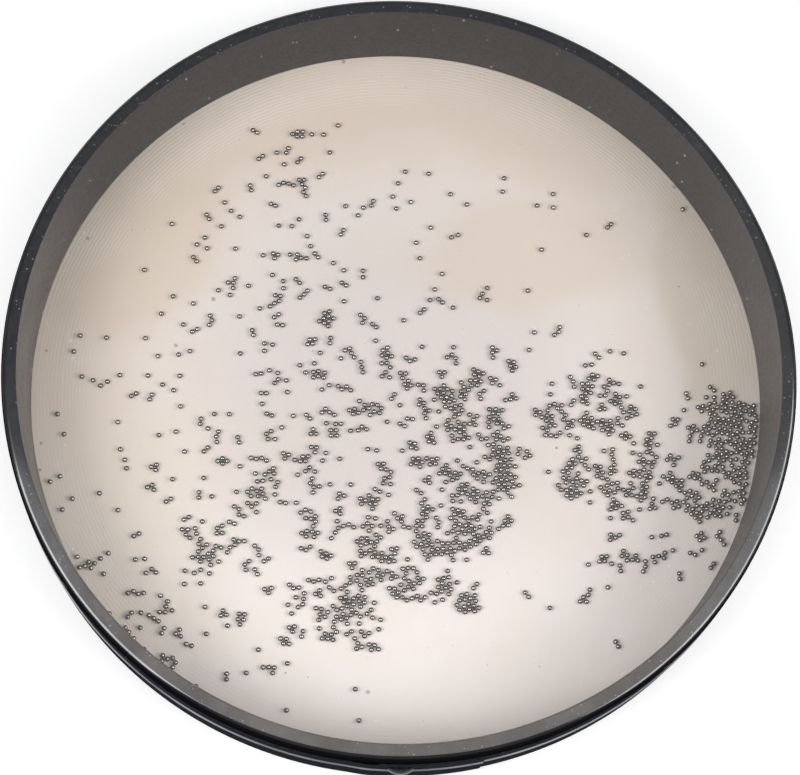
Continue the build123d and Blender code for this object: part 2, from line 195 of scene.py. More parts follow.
# %% Node helpers
def paint(red, green, blue):
    """A colour picker's 0 to 255 values as a linear colour."""
    linear = []
    for value in (red, green, blue):
        share = value / 255
        linear.append(share / 12.92 if share <= 0.04045 else ((share + 0.055) / 1.055) ** 2.4)
    return (*linear, 1.0)


def put(tree, kind, settings=None, **inputs):
    """Add a node, set its properties, and link or set its inputs by name."""
    node = tree.nodes.new(kind)
    for name, value in (settings or {}).items():
        setattr(node, name, value)
    for name, value in inputs.items():
        socket = node.inputs[int(name[1:])] if name[0] == "_" else node.inputs[name.replace("_", " ")]
        if isinstance(value, bpy.types.NodeSocket):
            tree.links.new(value, socket)
        else:
            socket.default_value = value
    return node


def sums(tree, operation, first, second=0.0, third=0.0):
    """One step of arithmetic; the result is the node's only output."""
    return put(tree, "ShaderNodeMath", {"operation": operation}, _0=first, _1=second, _2=third).outputs[0]


def fade(tree, value, start, end, low=0.0, high=1.0):
    """Carry a value smoothly from low to high while it passes from start to end."""
    smooth = {"interpolation_type": "SMOOTHSTEP"}
    return put(tree, "ShaderNodeMapRange", smooth, _0=value, _1=start, _2=end, _3=low, _4=high).outputs[0]


def mix(tree, share, first, second):
    """Blend two colours."""
    node = put(tree, "ShaderNodeMix", {"data_type": "RGBA"}, _0=share, _6=first, _7=second)
    return node.outputs[2]


def finish(name, **inputs):
    """A material with its Principled shader, whose plain inputs are set here."""
    material = bpy.data.materials.new(name)
    material.use_nodes = True
    shader = material.node_tree.nodes["Principled BSDF"]
    for socket, value in inputs.items():
        shader.inputs[socket.replace("_", " ")].default_value = value
    return material, material.node_tree, shader


print("a mid grey of 128 is %.3f in linear light" % paint(128, 128, 128)[0])

# %% [markdown]
# ## Effects that several finishes share
# Three effects turn up on more than one material, so each is a node group: where a point lies on the
# drum, the dust and scuffs that any handled surface picks up, and a soft unevenness of tone. A group
# hands out only values; the shader itself stays in each material.

# %% Node group: place on the drum
def start_group(name, inputs, outputs):
    """Begin a node group with float sockets and return its tree, its inlet and its outlet."""
    group = bpy.data.node_groups.new(name, "ShaderNodeTree")
    for label, value in inputs.items():
        socket = group.interface.new_socket(label, in_out="INPUT", socket_type="NodeSocketFloat")
        socket.default_value = value
    for label in outputs:
        group.interface.new_socket(label, in_out="OUTPUT", socket_type="NodeSocketFloat")
    return group, group.nodes.new("NodeGroupInput"), group.nodes.new("NodeGroupOutput")


PLACE_OUTPUTS = ["Radius mm", "Height mm", "Across mm", "Deep mm"]
place_group, inlet, outlet = start_group("drum_place", {}, PLACE_OUTPUTS)
coordinates = put(place_group, "ShaderNodeTexCoord")
split = put(place_group, "ShaderNodeSeparateXYZ", None, _0=coordinates.outputs["Object"])
across, deep, height = (sums(place_group, "MULTIPLY", axis, 1 / MM) for axis in split.outputs)
across_squared = sums(place_group, "MULTIPLY", across, across)
squared = sums(place_group, "MULTIPLY_ADD", deep, deep, across_squared)
place_group.links.new(sums(place_group, "SQRT", squared), outlet.inputs["Radius mm"])
place_group.links.new(height, outlet.inputs["Height mm"])
place_group.links.new(across, outlet.inputs["Across mm"])
place_group.links.new(deep, outlet.inputs["Deep mm"])
print("node group:", place_group.name)

# %% Node group: dust and scuffs
DUST_INPUTS = {"Speck scale": 900.0, "Speck share": 0.1, "Scuff scale": 60.0}
dust_group, inlet, outlet = start_group("dust_and_scuffs", DUST_INPUTS, ["Specks", "Scuffs"])
coordinates = put(dust_group, "ShaderNodeTexCoord").outputs["Object"]
cells = put(dust_group, "ShaderNodeTexVoronoi", None, Vector=coordinates,
            Scale=inlet.outputs["Speck scale"])
chance = put(dust_group, "ShaderNodeSeparateColor", None, _0=cells.outputs["Color"])
chosen = sums(dust_group, "LESS_THAN", chance.outputs[0], inlet.outputs["Speck share"])
size = sums(dust_group, "MULTIPLY_ADD", chance.outputs[1], 0.25, 0.12)
near = sums(dust_group, "LESS_THAN", cells.outputs["Distance"], size)
dust_group.links.new(sums(dust_group, "MULTIPLY", chosen, near), outlet.inputs["Specks"])
streaks = put(dust_group, "ShaderNodeTexNoise", None, Vector=coordinates,
              Scale=inlet.outputs["Scuff scale"], Detail=7.0, Roughness=0.72, Distortion=1.2)
dust_group.links.new(fade(dust_group, streaks.outputs[0], 0.56, 0.72), outlet.inputs["Scuffs"])
print("node group:", dust_group.name)

# %% Node group: uneven tone
tone_group, inlet, outlet = start_group("uneven_tone", {"Scale": 8.0, "Detail": 4.0, "Seed": 0.0}, ["Tone"])
coordinates = put(tone_group, "ShaderNodeTexCoord").outputs["Object"]
clouds = put(tone_group, "ShaderNodeTexNoise", {"noise_dimensions": "4D"}, Vector=coordinates,
             W=inlet.outputs["Seed"], Scale=inlet.outputs["Scale"],
             Detail=inlet.outputs["Detail"], Roughness=0.55)
tone_group.links.new(fade(tone_group, clouds.outputs[0], 0.3, 0.7), outlet.inputs["Tone"])
print("node group:", tone_group.name)


def use_group(tree, group, **inputs):
    """Place a node group in a material."""
    return put(tree, "ShaderNodeGroup", {"node_tree": group}, **inputs)


# %% [markdown]
# ## The shell
# The shell is a rolled hoop that both films are glued to. Its outer edges are rounded so that a film
# can bend over them without creasing, and its inner edges are only eased. The outside and the rim are
# black, and the inner wall is a dull warm grey. One closed outline, turned on the lathe, makes it.

# %% Shell mesh
EASE_STEPS = 5
low, high = shell_low.z, shell_high.z
rim = shell_radius - RIM_ROUND
eased = inner_radius + INNER_ROUND
shell_outline = (
    bend((rim, low + RIM_ROUND), RIM_ROUND, -90, 0, BEND_STEPS)
    + bend((rim, high - RIM_ROUND), RIM_ROUND, 0, 90, BEND_STEPS)
    + bend((eased, high - INNER_ROUND), INNER_ROUND, 90, 180, EASE_STEPS)
    + bend((eased, low + INNER_ROUND), INNER_ROUND, 180, 270, EASE_STEPS)
)
shell = turn_outline("shell_hoop", shell_outline, closed=True)
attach(shell, "drum")
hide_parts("shell")
print("shell:", len(shell.data.polygons), "faces")

# %% [markdown]
# The shell's finish depends on where a point lies. Inside a radius just past the inner wall it is the
# warm grey coating, with painted shade at the far side and a little at the right, and painted dark
# patches low down that stand for the beads' reflections in the wall. Everywhere else it is black, with
# pale dust and scuffs that were caught on the rim.

# %% Shell finish: the inner wall
FAR_START, FAR_FULL = 0.0, 130.0
RIGHT_START, RIGHT_FULL = 80.0, 180.0
REFLECTION_TOP, REFLECTION_FULL = 22.0, 3.0
shell_finish, tree, shader = finish("shell_coating", Specular_IOR_Level=0.15)
place = use_group(tree, place_group)
clouds = use_group(tree, tone_group, Scale=26.0, Detail=6.0, Seed=2.0)
bead_reflection_noise = use_group(tree, tone_group, Scale=60.0, Detail=7.0, Seed=9.0)
wall_tone = mix(tree, clouds.outputs["Tone"], paint(107, 101, 98), paint(122, 116, 112))
# painted shade: the wall darkens towards the far side
far_wall_shade = fade(tree, place.outputs["Deep mm"], FAR_START, FAR_FULL)
wall_tone = mix(tree, sums(tree, "MULTIPLY", far_wall_shade, 0.9), wall_tone, paint(30, 26, 26))
# painted shade: the wall is a little darker towards the right
right_wall_shade = fade(tree, place.outputs["Across mm"], RIGHT_START, RIGHT_FULL)
wall_tone = mix(tree, sums(tree, "MULTIPLY", right_wall_shade, 0.4), wall_tone, paint(72, 71, 72))
# painted reflection: dark patches low on the wall stand for the beads mirrored in it
low_wall = fade(tree, place.outputs["Height mm"], REFLECTION_TOP, REFLECTION_FULL)
painted_bead_reflections = sums(tree, "MULTIPLY", sums(tree, "MULTIPLY", bead_reflection_noise.outputs["Tone"], low_wall), 0.45)
wall_tone = mix(tree, painted_bead_reflections, wall_tone, paint(70, 66, 65))
print("wall tone made of", len(tree.nodes), "nodes")

# %% Shell finish: the black rim
RIM_START, RIM_FULL = inner_radius / MM + 0.3, inner_radius / MM + 0.9
BUMP_DEPTH = 0.2 * MM
dust = use_group(tree, dust_group, Speck_scale=620.0, Speck_share=0.16, Scuff_scale=45.0)
grain = use_group(tree, tone_group, Scale=420.0, Detail=3.0, Seed=5.0)
rim_tone = mix(tree, grain.outputs["Tone"], paint(30, 31, 35), paint(40, 41, 46))
rim_tone = mix(tree, sums(tree, "MULTIPLY", dust.outputs["Scuffs"], 0.35), rim_tone, paint(112, 112, 114))
rim_tone = mix(tree, sums(tree, "MULTIPLY", dust.outputs["Specks"], 0.7), rim_tone, paint(170, 168, 166))
on_rim = fade(tree, place.outputs["Radius mm"], RIM_START, RIM_FULL)
tree.links.new(mix(tree, on_rim, wall_tone, rim_tone), shader.inputs["Base Color"])
tree.links.new(fade(tree, grain.outputs["Tone"], 0.0, 1.0, 0.5, 0.66), shader.inputs["Roughness"])
bump = put(tree, "ShaderNodeBump", None, Strength=0.25, Distance=BUMP_DEPTH, Height=grain.outputs["Tone"])
tree.links.new(bump.outputs[0], shader.inputs["Normal"])
shell.data.materials.append(shell_finish)
print("finish:", shell_finish.name)

# %% [markdown]
# ## The lower film
# The lower head is an opaque cream film. It lies flat under the beads, bends round the shell's lower
# edge and runs up the outside, where the side band covers it. Where such a film is stretched and glued,
# faint rings show near its edge; they are real ridges here, a few hundredths of a millimetre high.

# %% Lower film mesh
RINGS = 7
RING_STEP = 1.9 * MM
RING_HEIGHT = 0.03 * MM
RING_HALF = 0.45 * MM
RING_EDGE = 3.0 * MM
bend_centre = (rim, low + RIM_ROUND)
glue = skirt_radius - shell_radius
floor_top = low - glue
ridges = []
for i in range(RINGS):
    middle = inner_radius - RING_EDGE - i * RING_STEP
    crest = (middle, floor_top + RING_HEIGHT)
    ridges += [(middle + RING_HALF, floor_top), crest, (middle - RING_HALF, floor_top)]
lower_outline = [(0, floor_top)] + flat_disc(inner_radius, floor_top) + list(reversed(ridges))
lower_outline += bend(bend_centre, RIM_ROUND + glue, 270, 360, BEND_STEPS)
lower_outline += [(skirt_radius, bottom_high.z), (skirt_radius + FILM, bottom_high.z)]
lower_outline += bend(bend_centre, RIM_ROUND + glue + FILM, 360, 270, BEND_STEPS)
lower_outline += list(reversed(flat_disc(inner_radius, bottom_low.z))) + [(0, bottom_low.z)]
lower_film = turn_outline("lower_film", lower_outline, closed=False)
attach(lower_film, "drum")
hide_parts("bottom_head")
print("lower film:", len(lower_film.data.polygons), "faces")

# %% [markdown]
# The cream tans towards the wall, most of all at the far side. Under the tan it is painted a little
# paler away from the middle and palest at the near side: painted light that lifts the shade which the
# wall casts there. A slow noise breaks the change up so that no clean circle shows, and three tan stains
# lie on the far half. Near the wall the stretched film shows thin pale rings. A few brown crumbs lie
# about, as on any drum that has been played.

# %% Lower film finish: pale and tan
WANDER = 70.0
LEAN_ACROSS, LEAN_DEEP = -0.14, 0.24
TAN_START, TAN_FULL = 115.0, 205.0
PAINTED_LIFT_START, PAINTED_LIFT_FULL = 50.0, 150.0
NEAR_START, NEAR_FULL = -40.0, -160.0
LIGHT_TAN, DEEP_TAN = -90.0, 60.0
cream, tree, shader = finish("cream_film", Specular_IOR_Level=0.35)
place = use_group(tree, place_group)
clouds = use_group(tree, tone_group, Scale=7.0, Detail=5.0, Seed=1.0)
wander = sums(tree, "MULTIPLY_ADD", clouds.outputs["Tone"], WANDER, -WANDER / 2)
leaning = sums(tree, "MULTIPLY_ADD", place.outputs["Across mm"], LEAN_ACROSS, wander)
leaning = sums(tree, "MULTIPLY_ADD", place.outputs["Deep mm"], LEAN_DEEP, leaning)
tanned = fade(tree, sums(tree, "ADD", place.outputs["Radius mm"], leaning), TAN_START, TAN_FULL)
# painted light: the cream is lighter away from the middle, lifting the shade near the wall
outward = fade(tree, place.outputs["Radius mm"], PAINTED_LIFT_START, PAINTED_LIFT_FULL)
pale = mix(tree, outward, paint(228, 218, 214), paint(240, 230, 224))
# painted light: palest at the near side, lifting the shade of the near wall
near_painted_lift = fade(tree, place.outputs["Deep mm"], NEAR_START, NEAR_FULL)
pale = mix(tree, near_painted_lift, pale, paint(255, 246, 241))
far_side = fade(tree, place.outputs["Deep mm"], LIGHT_TAN, DEEP_TAN)
tan = mix(tree, far_side, paint(242, 230, 217), paint(228, 212, 197))
tone = mix(tree, tanned, pale, tan)
print("pale and tan made of", len(tree.nodes), "nodes")

# %% Lower film finish: stains
# Each stain has its middle across and deep, its half width and half depth in mm, and its strength
STAINS = (
    (76.0, 77.0, 54.0, 32.0, 0.5),
    (-152.0, 96.0, 46.0, 60.0, 0.6),
    (172.0, 70.0, 26.0, 70.0, 0.6),
)
STAIN_EDGE, STAIN_FULL = 1.25, 0.65
RAGGED = 0.012
for middle_across, middle_deep, half_wide, half_deep, strength in STAINS:
    aside = sums(tree, "SUBTRACT", place.outputs["Across mm"], middle_across)
    aside = sums(tree, "DIVIDE", aside, half_wide)
    beyond = sums(tree, "SUBTRACT", place.outputs["Deep mm"], middle_deep)
    beyond = sums(tree, "DIVIDE", beyond, half_deep)
    beyond_squared = sums(tree, "MULTIPLY", beyond, beyond)
    off = sums(tree, "SQRT", sums(tree, "MULTIPLY_ADD", aside, aside, beyond_squared))
    stained = fade(tree, sums(tree, "MULTIPLY_ADD", wander, RAGGED, off), STAIN_EDGE, STAIN_FULL)
    tone = mix(tree, sums(tree, "MULTIPLY", stained, strength), tone, paint(222, 205, 184))
print("stains:", len(STAINS))

# %% Lower film finish: rings and crumbs
MARKS_START, MARKS_FULL = 156.0, 180.0
MARK_WOBBLE = 0.6
blots = use_group(tree, tone_group, Scale=17.0, Detail=6.0, Seed=4.0)
fibres = use_group(tree, tone_group, Scale=160.0, Detail=6.0, Seed=7.0)
crumbs = use_group(tree, dust_group, Speck_scale=260.0, Speck_share=0.007, Scuff_scale=150.0)
tone = mix(tree, sums(tree, "MULTIPLY", blots.outputs["Tone"], 0.18), tone, paint(227, 210, 190))
tone = mix(tree, sums(tree, "MULTIPLY", fibres.outputs["Tone"], 0.05), tone, paint(205, 196, 190))
wobble = sums(tree, "MULTIPLY_ADD", fibres.outputs["Tone"], MARK_WOBBLE, place.outputs["Radius mm"])
wave = sums(tree, "SINE", sums(tree, "MULTIPLY", wobble, 2 * math.pi * MM / RING_STEP))
near_wall = fade(tree, place.outputs["Radius mm"], MARKS_START, MARKS_FULL)
marks = sums(tree, "MULTIPLY", fade(tree, wave, 0.1, 0.9), near_wall)
marks = sums(tree, "MULTIPLY", marks, blots.outputs["Tone"])
tone = mix(tree, sums(tree, "MULTIPLY", marks, 0.7), tone, paint(250, 245, 238))
tone = mix(tree, sums(tree, "MULTIPLY", crumbs.outputs["Specks"], 0.5), tone, paint(120, 96, 74))
tree.links.new(tone, shader.inputs["Base Color"])
tree.links.new(fade(tree, fibres.outputs["Tone"], 0.0, 1.0, 0.42, 0.58), shader.inputs["Roughness"])
bump = put(tree, "ShaderNodeBump", None, Strength=0.08, Distance=BUMP_DEPTH, Height=fibres.outputs["Tone"])
tree.links.new(bump.outputs[0], shader.inputs["Normal"])
lower_film.data.materials.append(cream)
print("finish:", cream.name)

# %% [markdown]
# ## The clear film
# The upper head is clear, so almost all of what it shows lies behind it. Its shape still matters at the
# rim, where it rolls over the edge and catches the light, and where its skirt ends part of the way down
# the outside.

# %% Clear film mesh
ROLL_STEPS = 10
bend_centre = (rim, high - RIM_ROUND)
under = high + glue
clear_outline = [(0, under)] + flat_disc(eased, under) + [(eased, under)]
clear_outline += bend(bend_centre, RIM_ROUND + glue, 90, 0, ROLL_STEPS)
clear_outline += [(skirt_radius, top_low.z), (skirt_radius + FILM, top_low.z)]
clear_outline += bend(bend_centre, RIM_ROUND + glue + FILM, 0, 90, ROLL_STEPS)
clear_outline += [(eased, top_high.z)] + list(reversed(flat_disc(eased, top_high.z)))
clear_outline += [(0, top_high.z)]
clear_film = turn_outline("clear_film", clear_outline, closed=False)
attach(clear_film, "drum")
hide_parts("top_head")
print("clear film:", len(clear_film.data.polygons), "faces")

# %% [markdown]
# A thin film can be made as glass, but light then reaches the beads only by chance paths, and the
# inside goes dark and noisy. Alpha is the better way for a film this thin: it lets lamps straight
# through. Over the opening the film keeps only a trace of haze and dust; the pale veil that thickens
# when it is seen at a slant is a painted reflection of the bright room. Where it is glued round the rim
# it is backed by black, so it turns into a glossy black skin, lighter towards the right, with a painted
# warm reflection at the near side. One mesh can carry both finishes, because every face has a number
# that says which is its own.

# %% Clear film finish over the opening
HAZE, SLANT_REFLECTION = 0.03, 0.17
SLANT_START, SLANT_FULL = 0.35, 0.95
clear, tree, shader = finish("clear_film", Roughness=0.12, Base_Color=paint(236, 232, 229))
dust = use_group(tree, dust_group, Speck_scale=480.0, Speck_share=0.02)
# painted reflection: at a slant the pale base colour shows through a thicker alpha, for the mirrored room
slant = put(tree, "ShaderNodeLayerWeight", None, Blend=0.5)
sheen = fade(tree, slant.outputs["Facing"], SLANT_START, SLANT_FULL, HAZE, SLANT_REFLECTION)
veil = sums(tree, "MULTIPLY_ADD", dust.outputs["Specks"], 0.12, sheen)
tree.links.new(veil, shader.inputs["Alpha"])
clear_film.data.materials.append(clear)
print("finish:", clear.name)

# %% Clear film finish on the rim
SHINE_START, SHINE_FULL = top_high.z / MM - 1.2, top_high.z / MM - 0.5
FLAT_START, FLAT_FULL = rim / MM + 1.2, rim / MM
RIGHTWARD_START, RIGHTWARD_FULL = 90.0, 190.0
WARM_REFLECTION_START, WARM_REFLECTION_FULL = -60.0, -180.0
glued, tree, shader = finish("glued_film", Specular_IOR_Level=0.0, Coat_Roughness=0.14, Coat_IOR=2.1)
place = use_group(tree, place_group)
dust = use_group(tree, dust_group, Speck_scale=700.0, Speck_share=0.12, Scuff_scale=60.0)
grain = use_group(tree, tone_group, Scale=300.0, Detail=4.0, Seed=12.0)
on_top = fade(tree, place.outputs["Height mm"], SHINE_START, SHINE_FULL)
on_flat = fade(tree, place.outputs["Radius mm"], FLAT_START, FLAT_FULL)
tone = mix(tree, grain.outputs["Tone"], paint(31, 33, 38), paint(44, 46, 52))
# the rim is lighter towards the right
rightward = fade(tree, place.outputs["Across mm"], RIGHTWARD_START, RIGHTWARD_FULL)
tone = mix(tree, sums(tree, "MULTIPLY", rightward, 0.7), tone, paint(58, 58, 60))
# painted reflection: a warm tone on the near side of the rim
near_rim_reflection = fade(tree, place.outputs["Deep mm"], WARM_REFLECTION_START, WARM_REFLECTION_FULL)
warm_reflection = mix(tree, grain.outputs["Tone"], paint(46, 36, 30), paint(58, 46, 39))
tone = mix(tree, near_rim_reflection, tone, warm_reflection)
tone = mix(tree, sums(tree, "MULTIPLY", dust.outputs["Scuffs"], 0.3), tone, paint(92, 92, 95))
tone = mix(tree, sums(tree, "MULTIPLY", dust.outputs["Specks"], 0.5), tone, paint(150, 149, 148))
tree.links.new(mix(tree, on_flat, paint(18, 18, 21), tone), shader.inputs["Base Color"])
streaks = use_group(tree, tone_group, Scale=38.0, Detail=7.0, Seed=14.0)
shine = fade(tree, streaks.outputs["Tone"], 0.0, 1.0, 0.72, 1.0)
tree.links.new(sums(tree, "MULTIPLY", on_top, shine), shader.inputs["Coat Weight"])
tree.links.new(fade(tree, dust.outputs["Scuffs"], 0.0, 1.0, 0.5, 0.65), shader.inputs["Roughness"])
clear_film.data.materials.append(glued)
for face in clear_film.data.polygons:
    face.material_index = 1 if face.center.xy.length > eased else 0
print("finish:", glued.name)

# %% [markdown]
# ## The side band
# A black strip is wrapped round the outside and lapped over its own end at the near side. Its lower
# half is a thicker hem, and a painted highlight runs along the ledge of its shoulder. The strip is a
# cross-section carried round the drum: most of the way it lies on the drum, then it climbs onto its own
# end. Rounded edges matter here, because a sharp edge has no width to catch the light with.

# %% Side band section
BAND = 0.5 * MM
HEM = 1.2 * MM
HEM_TOP = band_low.z + 25.0 * MM
TOP_ROUND, HEM_ROUND, LEDGE_ROUND = 0.2 * MM, 0.55 * MM, 0.15 * MM
HAIR = 1e-7
QUARTER = (0.0, 0.5, 1.0, math.pi / 2)
FINE_QUARTER = (0.0, 0.4, 0.8, 1.2, math.pi / 2)


def band_section(hem):
    """The strip's section as (distance outward, height), with its edges rounded."""
    bottom, top = band_low.z, band_high.z
    reach = max(hem - BAND, 0.0)
    ledge = min(LEDGE_ROUND, reach / 2)
    outer = min(HEM_ROUND, reach / 2 + HAIR)
    points = [(0.0, bottom), (0.0, top)]
    for a in QUARTER:
        points.append((BAND - TOP_ROUND * (1 - math.sin(a)), top - TOP_ROUND * (1 - math.cos(a))))
    for a in QUARTER:
        points.append((BAND + ledge * (1 - math.cos(a)), HEM_TOP + ledge * (1 - math.sin(a))))
    for a in FINE_QUARTER:
        points.append((hem - outer * (1 - math.sin(a)), HEM_TOP - outer * (1 - math.cos(a))))
    for a in QUARTER:
        points.append((hem - outer * (1 - math.cos(a)), bottom + outer * (1 - math.sin(a))))
    return points


print("band section:", len(band_section(HEM)), "points")

# %% Side band mesh
TONGUE, HEM_START, CLIMB, CLIMBED, LAP_END = -93.0, -78.25, 262.0, 266.0, 281.6
HEM_BREAK = 0.002
LAP_GAP = 0.1 * MM
SHARP = math.radians(35)
band_radius = band_high.y - HEM
lap_step = BAND + LAP_GAP


def band_line(angle):
    """How far from the axis the strip's inner face lies at an angle."""
    share = min(max((angle - CLIMB) / (CLIMBED - CLIMB), 0.0), 1.0)
    return band_radius + lap_step * share * share * (3 - 2 * share)


def spaced(first, last, steps):
    """Even steps from one angle to another, both included."""
    return [first + (last - first) * i / steps for i in range(steps + 1)]


angles = spaced(TONGUE, HEM_START - HEM_BREAK, 10) + spaced(HEM_START, CLIMB, 270)
angles += spaced(CLIMB, CLIMBED, 10)[1:] + spaced(CLIMBED, LAP_END, 14)[1:]
mesh = bmesh.new()
rows = []
for angle in angles:
    section = band_section(HEM if angle >= HEM_START else BAND)
    line = band_line(angle)
    turn = math.radians(angle)
    way = Vector((math.cos(turn), math.sin(turn), 0))
    rows.append([mesh.verts.new(way * (line + out) + Vector((0, 0, height))) for out, height in section])
for low_row, high_row in zip(rows, rows[1:]):
    for i in range(len(low_row)):
        j = (i + 1) % len(low_row)
        mesh.faces.new((low_row[i], low_row[j], high_row[j], high_row[i]))
mesh.faces.new(list(reversed(rows[0])))
mesh.faces.new(rows[-1])
bmesh.ops.recalc_face_normals(mesh, faces=mesh.faces)
data = bpy.data.meshes.new("side_strip")
mesh.to_mesh(data)
mesh.free()
data.shade_smooth()
data.set_sharp_from_angle(angle=SHARP)
side_band = bpy.data.objects.new("side_strip", data)
bpy.context.scene.collection.objects.link(side_band)
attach(side_band, "drum")
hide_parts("side_band")
print("side band:", len(side_band.data.polygons), "faces, from", angles[0], "to", angles[-1], "degrees")

# %% [markdown]
# The band is matt black with a fine pebble grain. Along the ledge of the hem runs a painted highlight,
# stronger in some places than in others.

# %% Side band finish
LEDGE_DROP = 0.1
HIGHLIGHT_START, HIGHLIGHT_FULL = 0.8, 0.1
band_black, tree, shader = finish("band_black", Specular_IOR_Level=0.0)
place = use_group(tree, place_group)
grain = use_group(tree, tone_group, Scale=520.0, Detail=4.0, Seed=3.0)
dust = use_group(tree, dust_group, Speck_scale=560.0, Speck_share=0.05, Scuff_scale=34.0)
clouds = use_group(tree, tone_group, Scale=11.0, Detail=5.0, Seed=10.0)
tone = mix(tree, grain.outputs["Tone"], paint(36, 37, 42), paint(51, 52, 58))
# painted highlight: a pale line along the shoulder of the hem
ledge = sums(tree, "SUBTRACT", place.outputs["Height mm"], HEM_TOP / MM - LEDGE_DROP)
ledge = sums(tree, "ABSOLUTE", ledge)
highlight_strength = sums(tree, "MULTIPLY_ADD", clouds.outputs["Tone"], 0.55, 0.3)
ledge_highlight = sums(tree, "MULTIPLY", fade(tree, ledge, HIGHLIGHT_START, HIGHLIGHT_FULL), highlight_strength)
tone = mix(tree, ledge_highlight, tone, paint(212, 212, 215))
tone = mix(tree, sums(tree, "MULTIPLY", dust.outputs["Scuffs"], 0.08), tone, paint(90, 90, 92))
tone = mix(tree, sums(tree, "MULTIPLY", dust.outputs["Specks"], 0.3), tone, paint(140, 138, 136))
tree.links.new(tone, shader.inputs["Base Color"])
tree.links.new(fade(tree, dust.outputs["Scuffs"], 0.0, 1.0, 0.38, 0.6), shader.inputs["Roughness"])
bump = put(tree, "ShaderNodeBump", None, Strength=0.35, Distance=BUMP_DEPTH, Height=grain.outputs["Tone"])
tree.links.new(bump.outputs[0], shader.inputs["Normal"])
side_band.data.materials.append(band_black)
print("finish:", band_black.name)

# %% [markdown]
# ## The lap rivet
# One round-headed rivet holds the lap. It is turned on the same lathe, standing up, and then laid over
# so that its axis points out of the drum. A slight flat on the crown and a rolled lower lip keep it
# from being a plain dome.

# %% Lap rivet mesh
head_radius = (rivet_high.x - rivet_low.x) / 2
rivet_height = (rivet_low.z + rivet_high.z) / 2
crown = -rivet_low.y
HEAD = 3.2 * MM
LIP = 0.6 * MM
SHANK = 3.0 * MM
SHANK_EASE = 0.3 * MM
LIP_IN, LIP_UP = 0.25 * MM, 0.2 * MM
CROWN_FLAT = 0.12 * MM
DOME_STEPS = 9
RIVET_SIDES = 64
RIVET_SHARP = math.radians(50)
seat = crown - HEAD
shank_end = -rivet_high.y
rivet_outline = [(0, shank_end), (SHANK - SHANK_EASE, shank_end)]
rivet_outline += [(SHANK, shank_end + SHANK_EASE), (SHANK, seat)]
rivet_outline += [(head_radius - LIP_IN, seat), (head_radius, seat + LIP_UP), (head_radius, seat + LIP)]
rise = HEAD - LIP
dome = (head_radius**2 + rise**2) / (2 * rise)
for i in range(1, DOME_STEPS):
    radius = head_radius * (1 - i / DOME_STEPS)
    height = math.sqrt(dome**2 - radius**2) - (dome - rise)
    rivet_outline.append((radius, seat + LIP + min(height, rise - CROWN_FLAT)))
rivet_outline.append((0, crown - CROWN_FLAT))
rivet = turn_outline("lap_rivet_head", rivet_outline, closed=False, sides=RIVET_SIDES)
lay_over = Matrix.Rotation(math.radians(90), 4, "X")
rivet.data.transform(Matrix.Translation((0, 0, rivet_height)) @ lay_over)
rivet.data.set_sharp_from_angle(angle=RIVET_SHARP)
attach(rivet, "drum")
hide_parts("lap_rivet")
print("rivet: head %.1f mm across" % (2 * head_radius / MM))

# %% Lap rivet finish
enamel, tree, shader = finish("rivet_enamel", Specular_IOR_Level=0.12)
dust = use_group(tree, dust_group, Speck_scale=900.0, Speck_share=0.05, Scuff_scale=140.0)
tone = mix(tree, sums(tree, "MULTIPLY", dust.outputs["Scuffs"], 0.3), paint(14, 15, 17), paint(64, 64, 66))
tree.links.new(tone, shader.inputs["Base Color"])
tree.links.new(fade(tree, dust.outputs["Scuffs"], 0.0, 1.0, 0.22, 0.45), shader.inputs["Roughness"])
rivet.data.materials.append(enamel)
print("finish:", enamel.name)

# %% [markdown]
# ## The beads
# Each group of bead solids is one mesh with many separate balls in it. Steel shot isn't perfectly
# round, so a few slightly different beads are made once, and a copy is laid at the middle of every
# ball. The middles are found by walking over the connected pieces of the solid's mesh. All copies of a
# group go into one mesh object, because a scene with thousands of objects is slow to work with.

# %% Bead shapes
BEAD_KINDS = 5
FLATS = 4
FLAT_DEEP, FLAT_SHALLOW = 0.955, 0.985
PRESS = 0.7
shake = random.Random(3)


def bead_shape(radius):
    """One bead as lists of points and faces: a ball with a few flats pressed into it."""
    mesh = bmesh.new()
    bmesh.ops.create_icosphere(mesh, subdivisions=2, radius=radius)
    flats = []
    for _ in range(FLATS):
        direction = Vector((shake.gauss(0, 1), shake.gauss(0, 1), shake.gauss(0, 1))).normalized()
        flats.append((direction, radius * shake.uniform(FLAT_DEEP, FLAT_SHALLOW)))
    for vertex in mesh.verts:
        for direction, depth in flats:
            over = vertex.co.dot(direction) - depth
            if over > 0:
                vertex.co -= direction * over * PRESS
    mesh.verts.ensure_lookup_table()
    points = [v.co.copy() for v in mesh.verts]
    faces = [[v.index for v in f.verts] for f in mesh.faces]
    mesh.free()
    return points, faces


bead_nodes = sorted(name for name in frame["nodes"] if "_beads_" in name)
bead_low, bead_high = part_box(bead_nodes[0])
bead_radius = (bead_high.z - bead_low.z) / 2
shapes = [bead_shape(bead_radius) for _ in range(BEAD_KINDS)]
print("bead kinds:", len(shapes), "of", len(shapes[0][0]), "points")

# %% Where the beads lie
SAME_PLACE = 1e-6


def bead_middles(solid):
    """The middle of every separate ball in a solid's mesh."""
    mesh = bmesh.new()
    mesh.from_mesh(solid.data)
    bmesh.ops.remove_doubles(mesh, verts=mesh.verts, dist=SAME_PLACE)
    middles = []
    seen = set()
    for start in mesh.verts:
        if start in seen:
            continue
        seen.add(start)
        island = [start]
        for vertex in island:
            for edge in vertex.link_edges:
                other = edge.other_vert(vertex)
                if other not in seen:
                    seen.add(other)
                    island.append(other)
        lows = [min(v.co[k] for v in island) for k in range(3)]
        highs = [max(v.co[k] for v in island) for k in range(3)]
        middles.append(Vector([(a + b) / 2 for a, b in zip(lows, highs)]))
    mesh.free()
    return middles


bead_places = {name: bead_middles(frame["nodes"][name]) for name in bead_nodes}
print("balls found:", sum(len(places) for places in bead_places.values()))

